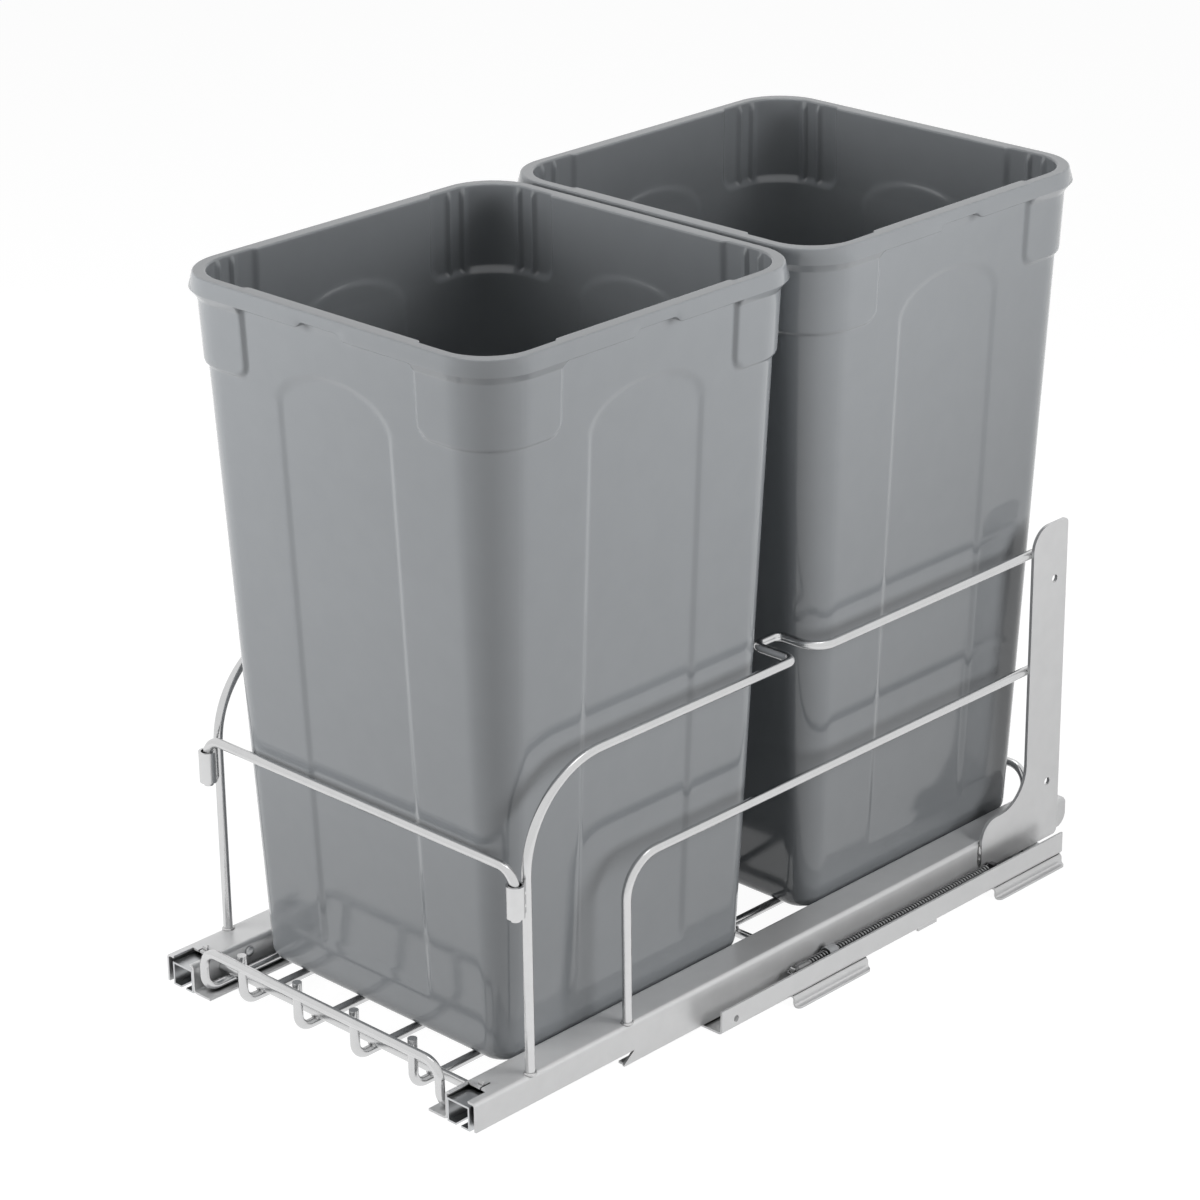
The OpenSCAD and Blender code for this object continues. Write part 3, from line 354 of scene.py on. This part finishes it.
class BinForm:
    """Outline columns round a bin and the relief on its skin, about the bin's middle."""

    def __init__(self, width, depth, height):
        self.half = np.array([width / 2 - RIM_FLARE, depth / 2 - RIM_FLARE])
        self.height = height
        self.rim_low = height - RIM_H
        self.panel_low = self.rim_low - PANEL_DROP
        self.lean = (TAPER - RIM_OUT) / self.rim_low
        rib = [RIB_HALF + RIB_SLOPE, RIB_HALF, -RIB_HALF, -RIB_HALF - RIB_SLOPE]
        side = SIDE_COLUMNS + [RIB_AT - k for k in rib] + [LAST_COLUMN]
        flat = [-c for c in side[:0:-1]] + side
        inner_r = CORNER_R - RIM_W + PANEL_OUT
        turn = sorted(CORNER_ANGLES + [RIB_ANGLE - math.degrees(k / inner_r) for k in rib])
        turn += [90 - a for a in turn[-2::-1]]
        columns = []
        for q in range(4):
            corner = ((1, -1, -1, 1)[q], (1, 1, -1, -1)[q])
            for a in turn:
                t = math.radians(90 * q + a)
                near = math.radians(min(a, 90 - a) - RIB_ANGLE) * inner_r
                columns.append((1, *corner, math.cos(t), math.sin(t), PAST_SIDES, float(rib_share(near))))
            along = ((-1, 0), (0, -1), (1, 0), (0, 1))[q]
            for c in flat:
                columns.append((0, *along, along[1], -along[0], c, float(rib_share(abs(c) - RIB_AT))))
        columns = np.array(columns)
        self.arc = columns[:, 0:1] > 0
        self.corner, self.normal = columns[:, 1:3], columns[:, 3:5]
        self.place, self.rib = columns[:, 5], columns[:, 6]
        self.c = np.abs(self.place)

    def skin(self, z):
        """Inset of the outer skin at height z."""
        return TAPER - self.lean * z

    def inner(self, z):
        """Inset of the inner skin: the wall thickens over the corner panels up to the rim."""
        full = self.panel_low + PANEL_SLOPE
        if z <= full:
            return self.skin(z) + WALL
        share = (z - full) / (self.height - full)
        return (1 - share) * (self.skin(full) + WALL) + share * RIM_W

    def panel(self, z, edge=PANEL_EDGE):
        """Share, for every column, of the corner panels' step at height z."""
        across, down = PANEL_START + PANEL_R - self.c, self.panel_low + PANEL_R - z
        apart = np.where((across > 0) & (down > 0), np.hypot(across, down), np.maximum(across, down))
        return smooth_step((edge - (apart - PANEL_R)) / (2 * edge))

    def arch(self, z):
        """How far the arched middle of a side is sunk at height z, for every column."""
        middle = self.height - ARCH_TOP_DROP - ARCH_RISE
        above = max(z - middle, 0)
        apart = np.hypot(self.c / ARCH_HALF, above / ARCH_RISE) - 1
        apart = apart * (ARCH_HALF if z <= middle else ARCH_RISE)
        return ARCH_IN * smooth_step((ARCH_EDGE - np.maximum(apart, ARCH_FOOT - z)) / (2 * ARCH_EDGE))

    def ring(self, inset, z, out=0.0):
        """Points of one row at an inset from the rim's top outline; out and z: numbers or one per column."""
        r = CORNER_R - (CORNER_R - BASE_R) * inset / TAPER
        out = np.broadcast_to(out, self.c.shape)[:, None]
        round_part = self.corner * (self.half - inset - r) + self.normal * (r + out)
        last = self.half.mean() - inset - r
        c = np.minimum(self.c, STRETCH_FROM)
        c = c + (self.c - c) * (last - STRETCH_FROM) / (self.half.mean() - CORNER_R - STRETCH_FROM)
        reach = np.abs(self.normal) @ self.half - inset
        flat_part = self.normal * (reach[:, None] + out) + self.corner * (np.sign(self.place) * c)[:, None]
        points = np.where(self.arc, round_part, flat_part)
        return np.column_stack([points, np.broadcast_to(z, self.c.shape)])

    def outside(self):
        """Rows from under the base up to the top of the rim's outer edge."""
        top, low = self.height, self.rim_low
        base = self.ring(TAPER + EDGE_R, 0.0)
        out = [base * (k, k, 1) + (0, 0, h) for k, h in BASE_RECESS]
        for t in self.quarter():
            z = EDGE_R * (1 - math.cos(t))
            out.append(self.ring(self.skin(z) + EDGE_R * (1 - math.sin(t)), z))
        out += [self.ring(self.skin(z), z, PANEL_OUT * self.panel(z) - self.arch(z)) for z in ROW_HEIGHTS]
        step = PANEL_OUT * self.panel(low)
        band = low + NOTCH_H * smooth_step((NOTCH_HALF + NOTCH_SLOPE / 2 - self.c) / NOTCH_SLOPE)
        under = band - PANEL_CHAMFER * self.panel(low)
        out += [self.ring(RIM_OUT, under - RIM_FILLET, step), self.ring(RIM_OUT - RIM_BEVEL, under, step),
                self.ring(RIM_FILLET - RIM_FLARE, band - RIM_SAG), self.ring(-RIM_FLARE, band + RIM_BEVEL)]
        for t in self.quarter():
            out.append(self.ring(RIM_ROUND * (1 - math.cos(t)), top - RIM_ROUND * (1 - math.sin(t))))
        return out

    def inside(self):
        """Rows from the rim's dished top down the inner skin to the floor."""
        top, low = self.height, self.rim_low
        lip, rib = PANEL_OUT * self.panel(top), RIB_IN * self.rib
        out = [self.ring(RIM_W / 2, top - RIM_DISH, lip / 2)]
        for t in self.quarter()[::-1]:
            inset = RIM_W - RIM_ROUND * (1 - math.cos(t))
            out.append(self.ring(inset, top - RIM_ROUND * (1 - math.sin(t)), lip))
        for z in [low + k for k in RIM_INSIDE_ROWS] + ROW_HEIGHTS[::-1]:
            share = smooth_step((z - self.panel_low + RIB_FOOT) / RIB_FOOT_SLOPE)
            share = share * smooth_step((low + RIB_TOP - z) / RIB_TOP_SLOPE)
            relief = PANEL_OUT * self.panel(z, PANEL_EDGE_INSIDE) - self.arch(z) - rib * share
            out.append(self.ring(self.inner(z), z, relief))
        inner_r = EDGE_R - WALL / 2
        for t in self.quarter()[::-1]:
            z = WALL + inner_r * (1 - math.cos(t))
            out.append(self.ring(WALL + self.skin(z) + inner_r * (1 - math.sin(t)), z))
        out.append(self.ring(WALL + TAPER + inner_r, WALL) * (FLOOR_SHARE, FLOOR_SHARE, 1))
        return out

    @staticmethod
    def quarter():
        """Angles of the steps of a rounded edge."""
        return [math.radians(90 * k / ROUND_STEPS) for k in range(ROUND_STEPS + 1)]


def skinned(rows, count):
    """Faces of a closed skin over rows of count points each, with both ends capped."""
    faces = []
    for j in range(rows - 1):
        for i in range(count):
            a, b = j * count + i, j * count + (i + 1) % count
            faces.append((a, b, b + count, a + count))
    last = (rows - 1) * count
    return faces + [tuple(range(count))[::-1], tuple(range(last, last + count))]


def make_bin(node):
    low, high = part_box(node)
    size, middle = (high - low) / MM, (high + low) / 2
    form = BinForm(*size)
    rows = form.outside() + form.inside()
    verts = np.concatenate(rows) * MM + np.array([middle.x, middle.y, low.z])
    obj = piece(node + "_moulded", verts, skinned(len(rows), len(rows[0])), "bin")
    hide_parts(node)
    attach(obj, body_of_node[node])


make_bin("bin_rear")
make_bin("bin_front")

# Closing springs: a close coil with a hook round the catch's post and a turned end with an eye. Sizes in mm

COIL_R, COIL_WIRE_R, COIL_PITCH, COIL_STEPS, COIL_SIDES = 2.75, 0.68, 2.65, 14, 8
# How far the coil goes over the turned end, and where it stops short of the solid's front end
COIL_LAP, COIL_END = 1, 3
PLUG_R, PLUG_FROM, PLUG_L, PLUG_SIDES = 3.0, 3.4, 10.5, 24
NECK_R, NECK_L = 0.9, 2.0
EYE_R, LUG_HALF, EYE_STEP, EYE_SIDES = 2.9, 1.05, 12, 10
HOOK_R, POST_HALF, HOOK_STEP, HOOK_TAIL = 3.5, 2.0, 15, 3.0
# The turned end: distance from its rear tip and radius
PLUG_SHAPE = [(0.0, 0.3), (0.1, NECK_R), (1.4, NECK_R), (1.7, 2.0), (2.2, 2.7), (2.9, PLUG_R),
              (NECK_L + PLUG_L - 0.8, PLUG_R), (NECK_L + PLUG_L - 0.2, 2.7), (NECK_L + PLUG_L, 2.2)]
# A direction that no tube's path starts along
ASKEW = (0.3, 0.5, 0.8)


def tube(path, radii, sides):
    """Points and faces of a closed tube along a path of points; radii is one number or one per point."""
    path = np.asarray(path, float)
    radii = np.broadcast_to(radii, len(path))
    along = np.gradient(path, axis=0)
    along /= np.linalg.norm(along, axis=1)[:, None]
    across = np.cross(along[0], ASKEW)
    turn = np.arange(sides) * 2 * math.pi / sides
    verts = []
    for point, radius, t in zip(path, radii, along):
        across = across - t * (across @ t)
        across /= np.linalg.norm(across)
        other = np.cross(t, across)
        verts.append(point + radius * (np.outer(np.cos(turn), across) + np.outer(np.sin(turn), other)))
    return np.concatenate(verts), skinned(len(path), sides)


def joined(parts):
    """Several (points, faces) as one."""
    verts, faces, count = [], [], 0
    for points, part_faces in parts:
        verts.append(points)
        faces += [tuple(i + count for i in f) for f in part_faces]
        count += len(points)
    return np.concatenate(verts), faces


def bow_angles(end, step):
    """Angles of an arc from 0 to an end, in steps, given in degrees."""
    return np.radians(np.arange(0, end + 1, step))


def make_spring(side):
    low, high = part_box("closing_spring_" + side)
    catch_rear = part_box("closing_catch_" + side)[1].y / MM
    axis = np.array([(low.x + high.x) / 2, 0, (low.z + high.z) / 2]) / MM
    rear, front = high.y / MM, low.y / MM
    start, end = rear - PLUG_FROM - PLUG_L + COIL_LAP, front + COIL_END
    post = catch_rear - POST_HALF
    turns = round((start - front - COIL_END) / COIL_PITCH)
    t = np.linspace(0, 1, turns * COIL_STEPS + 1)
    angle = 2 * math.pi * turns * t
    coil = np.column_stack([COIL_R * np.cos(angle), start + (end - start) * t, COIL_R * np.sin(angle)])
    bow = bow_angles(180, HOOK_STEP)
    hook = np.column_stack([HOOK_R * np.cos(bow), post - HOOK_R * np.sin(bow), 0 * bow])
    path = np.concatenate([coil, hook, [[-HOOK_R, post + HOOK_TAIL, 0]]]) + axis
    verts, faces = tube(path, COIL_WIRE_R, COIL_SIDES)
    obj = piece("closing_spring_" + side + "_coil", verts * MM, faces, "spring")
    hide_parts("closing_spring_" + side)
    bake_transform(obj)

    path = [(0, rear - PLUG_FROM + NECK_L - y, 0) for y, _ in PLUG_SHAPE] + axis
    plug = tube(path, [r for _, r in PLUG_SHAPE], PLUG_SIDES)
    bow = bow_angles(360, EYE_STEP)
    path = np.column_stack([EYE_R * np.sin(bow), rear + LUG_HALF - EYE_R * np.cos(bow), 0 * bow]) + axis
    eye = tube(path, COIL_WIRE_R, EYE_SIDES)
    verts, faces = joined([plug, eye])
    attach(piece("closing_spring_" + side + "_end", verts * MM, faces, "spring"), "cabinet_side")


# Welds: lumpy beads where wires and plates meet the rails, and small nuggets in the tray. Sizes in mm

WIRE_R = 3.0
BEAD_LUMPS, BEAD_TIP, BEAD_TIP_STEP, BEAD_SIDES = (0.75, 1.15), 0.35, 0.4, 8
POST_BEAD_R, POST_BEAD_OUT, POST_BEAD_STEP = 1.0, 0.2, 18
# Bead along a wire on the door plate: radius, depth in the plate's face, height from the wire's middle, and
# where it starts, ends and how far apart its points are
PLATE_BEAD_R, PLATE_BEAD_IN, PLATE_BEAD_UP, PLATE_BEAD = 0.9, 0.5, 2.0, (1.5, 22, 1.6)
# Bead down the door plate's heel on the rail: the same, from the rail's top
HEEL_BEAD_R, HEEL_BEAD_OUT, HEEL_BEAD_BACK, HEEL_BEAD = 1.25, 0.6, 0.5, (2.5, 17.5, 1.5)
PLATE_SEED, HEEL_SEED = 10, 20
NUGGET_R, NUGGET_LONG, NUGGET_TIP, NUGGET_STEPS, NUGGET_SIDES = 0.9, 1.2, 0.08, 7, 10
# Nuggets beside the wires' middles where tray and cross wires meet, and where tray wires meet a lip wire
CROSS_NUGGET_X, CROSS_NUGGET_Y, LIP_NUGGET_X = 1.9, 1.3, 1.7


def bead(path, radius, seed):
    """A lumpy closed bead along a path of points."""
    count = len(path)
    lump = np.random.default_rng(seed).uniform(*BEAD_LUMPS, count)
    from_end = np.minimum(np.arange(count), np.arange(count)[::-1])
    return tube(path, radius * lump * np.minimum(1, BEAD_TIP + from_end * BEAD_TIP_STEP), BEAD_SIDES)


def ring_bead(centre, ring, radius, seed):
    """A bead round a post's foot."""
    bow = bow_angles(360, POST_BEAD_STEP)
    path = np.column_stack([ring * np.cos(bow), ring * np.sin(bow), 0 * bow]) + centre
    return bead(path, radius, seed)


def nugget(centre, along):
    """A short weld lump, longest along a direction."""
    steps = np.linspace(-1, 1, NUGGET_STEPS)
    path = np.asarray(centre) + steps[:, None] * NUGGET_R * NUGGET_LONG * np.asarray(along)
    return tube(path, NUGGET_R * np.sqrt(np.maximum(NUGGET_TIP, 1 - steps ** 2)), NUGGET_SIDES)


def make_side_welds(side, sign):
    upper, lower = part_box("upper_side_wire_" + side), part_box("lower_side_wire_" + side)
    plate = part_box("door_plate_" + side)
    wire_x = sign * (max(abs(upper[0].x), abs(upper[1].x)) / MM - WIRE_R)
    face_x = sign * min(abs(plate[0].x), abs(plate[1].x)) / MM
    top = RAIL_TOP / MM
    parts = []
    for k, wire in enumerate((upper, lower)):
        foot = (wire_x, wire[1].y / MM - WIRE_R, top + POST_BEAD_OUT)
        parts.append(ring_bead(foot, WIRE_R + POST_BEAD_OUT, POST_BEAD_R, k))
        x, end_y, z = face_x - sign * PLATE_BEAD_IN, wire[0].y / MM, wire[1].z / MM - WIRE_R
        for up in (-1, 1):
            path = [(x, end_y + y, z + up * PLATE_BEAD_UP) for y in np.arange(*PLATE_BEAD)]
            parts.append(bead(path, PLATE_BEAD_R, PLATE_SEED + k))
    x, y = face_x + sign * HEEL_BEAD_OUT, plate[1].y / MM + HEEL_BEAD_BACK
    parts.append(bead([(x, y, top - down) for down in np.arange(*HEEL_BEAD)], HEEL_BEAD_R, HEEL_SEED))
    verts, faces = joined(parts)
    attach(piece("welds_" + side, verts * MM, faces, "wire", "weld"), "frame")


def make_tray_welds():
    parts = []
    tray = [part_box("tray_wire_%d" % k) for k in (1, 2, 3, 4)]
    for low, high in tray:
        x = (low.x + high.x) / 2 / MM
        for name in ("cross_wire_rear", "cross_wire_middle", "cross_wire_front"):
            cross_low, cross_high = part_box(name)
            y = (cross_low.y + cross_high.y) / 2 / MM
            z = (cross_low.z if name == "cross_wire_rear" else cross_high.z) / MM
            for step in (-CROSS_NUGGET_Y, CROSS_NUGGET_Y):
                parts.append(nugget((x + CROSS_NUGGET_X, y + step, z), (1, 0, 0)))
                parts.append(nugget((x - CROSS_NUGGET_X, y + step, z), (1, 0, 0)))
        for name, y in (("rear_lip_wire", high.y / MM), ("front_lip_wire", low.y / MM)):
            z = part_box(name)[1].z / MM - WIRE_R
            for step in (-LIP_NUGGET_X, LIP_NUGGET_X):
                parts.append(nugget((x + step, y, z), (0, 0, 1)))
    verts, faces = joined(parts)
    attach(piece("tray_welds", verts * MM, faces, "wire", "weld"), "frame")


# Domed rivet heads inside the rails. Sizes in mm

RIVETS, HEAD_R, DOME_H, DOME_SUNK, DOME_TIP, DOME_STEPS, DOME_SIDES = 5, 3.4, 0.9, 0.3, 0.01, 6, 24


def make_rivet_domes(side, sign):
    low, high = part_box("runner_rivets_" + side)
    inner, z = sign * min(abs(low.x), abs(high.x)) / MM, (low.z + high.z) / 2 / MM
    steps = np.linspace(0, 1, DOME_STEPS)
    parts = []
    for y in np.linspace(low.y / MM + HEAD_R, high.y / MM - HEAD_R, RIVETS):
        path = [(inner + sign * (DOME_SUNK - (DOME_H + DOME_SUNK) * k), y, z) for k in steps]
        parts.append(tube(path, HEAD_R * np.sqrt(np.maximum(DOME_TIP, 1 - steps ** 2)), DOME_SIDES))
    verts, faces = joined(parts)
    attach(piece("rivet_domes_" + side, verts * MM, faces, "track"), "frame")


make_tray_welds()
for side, sign in SIDES:
    make_spring(side)
    make_side_welds(side, sign)
    make_rivet_domes(side, sign)
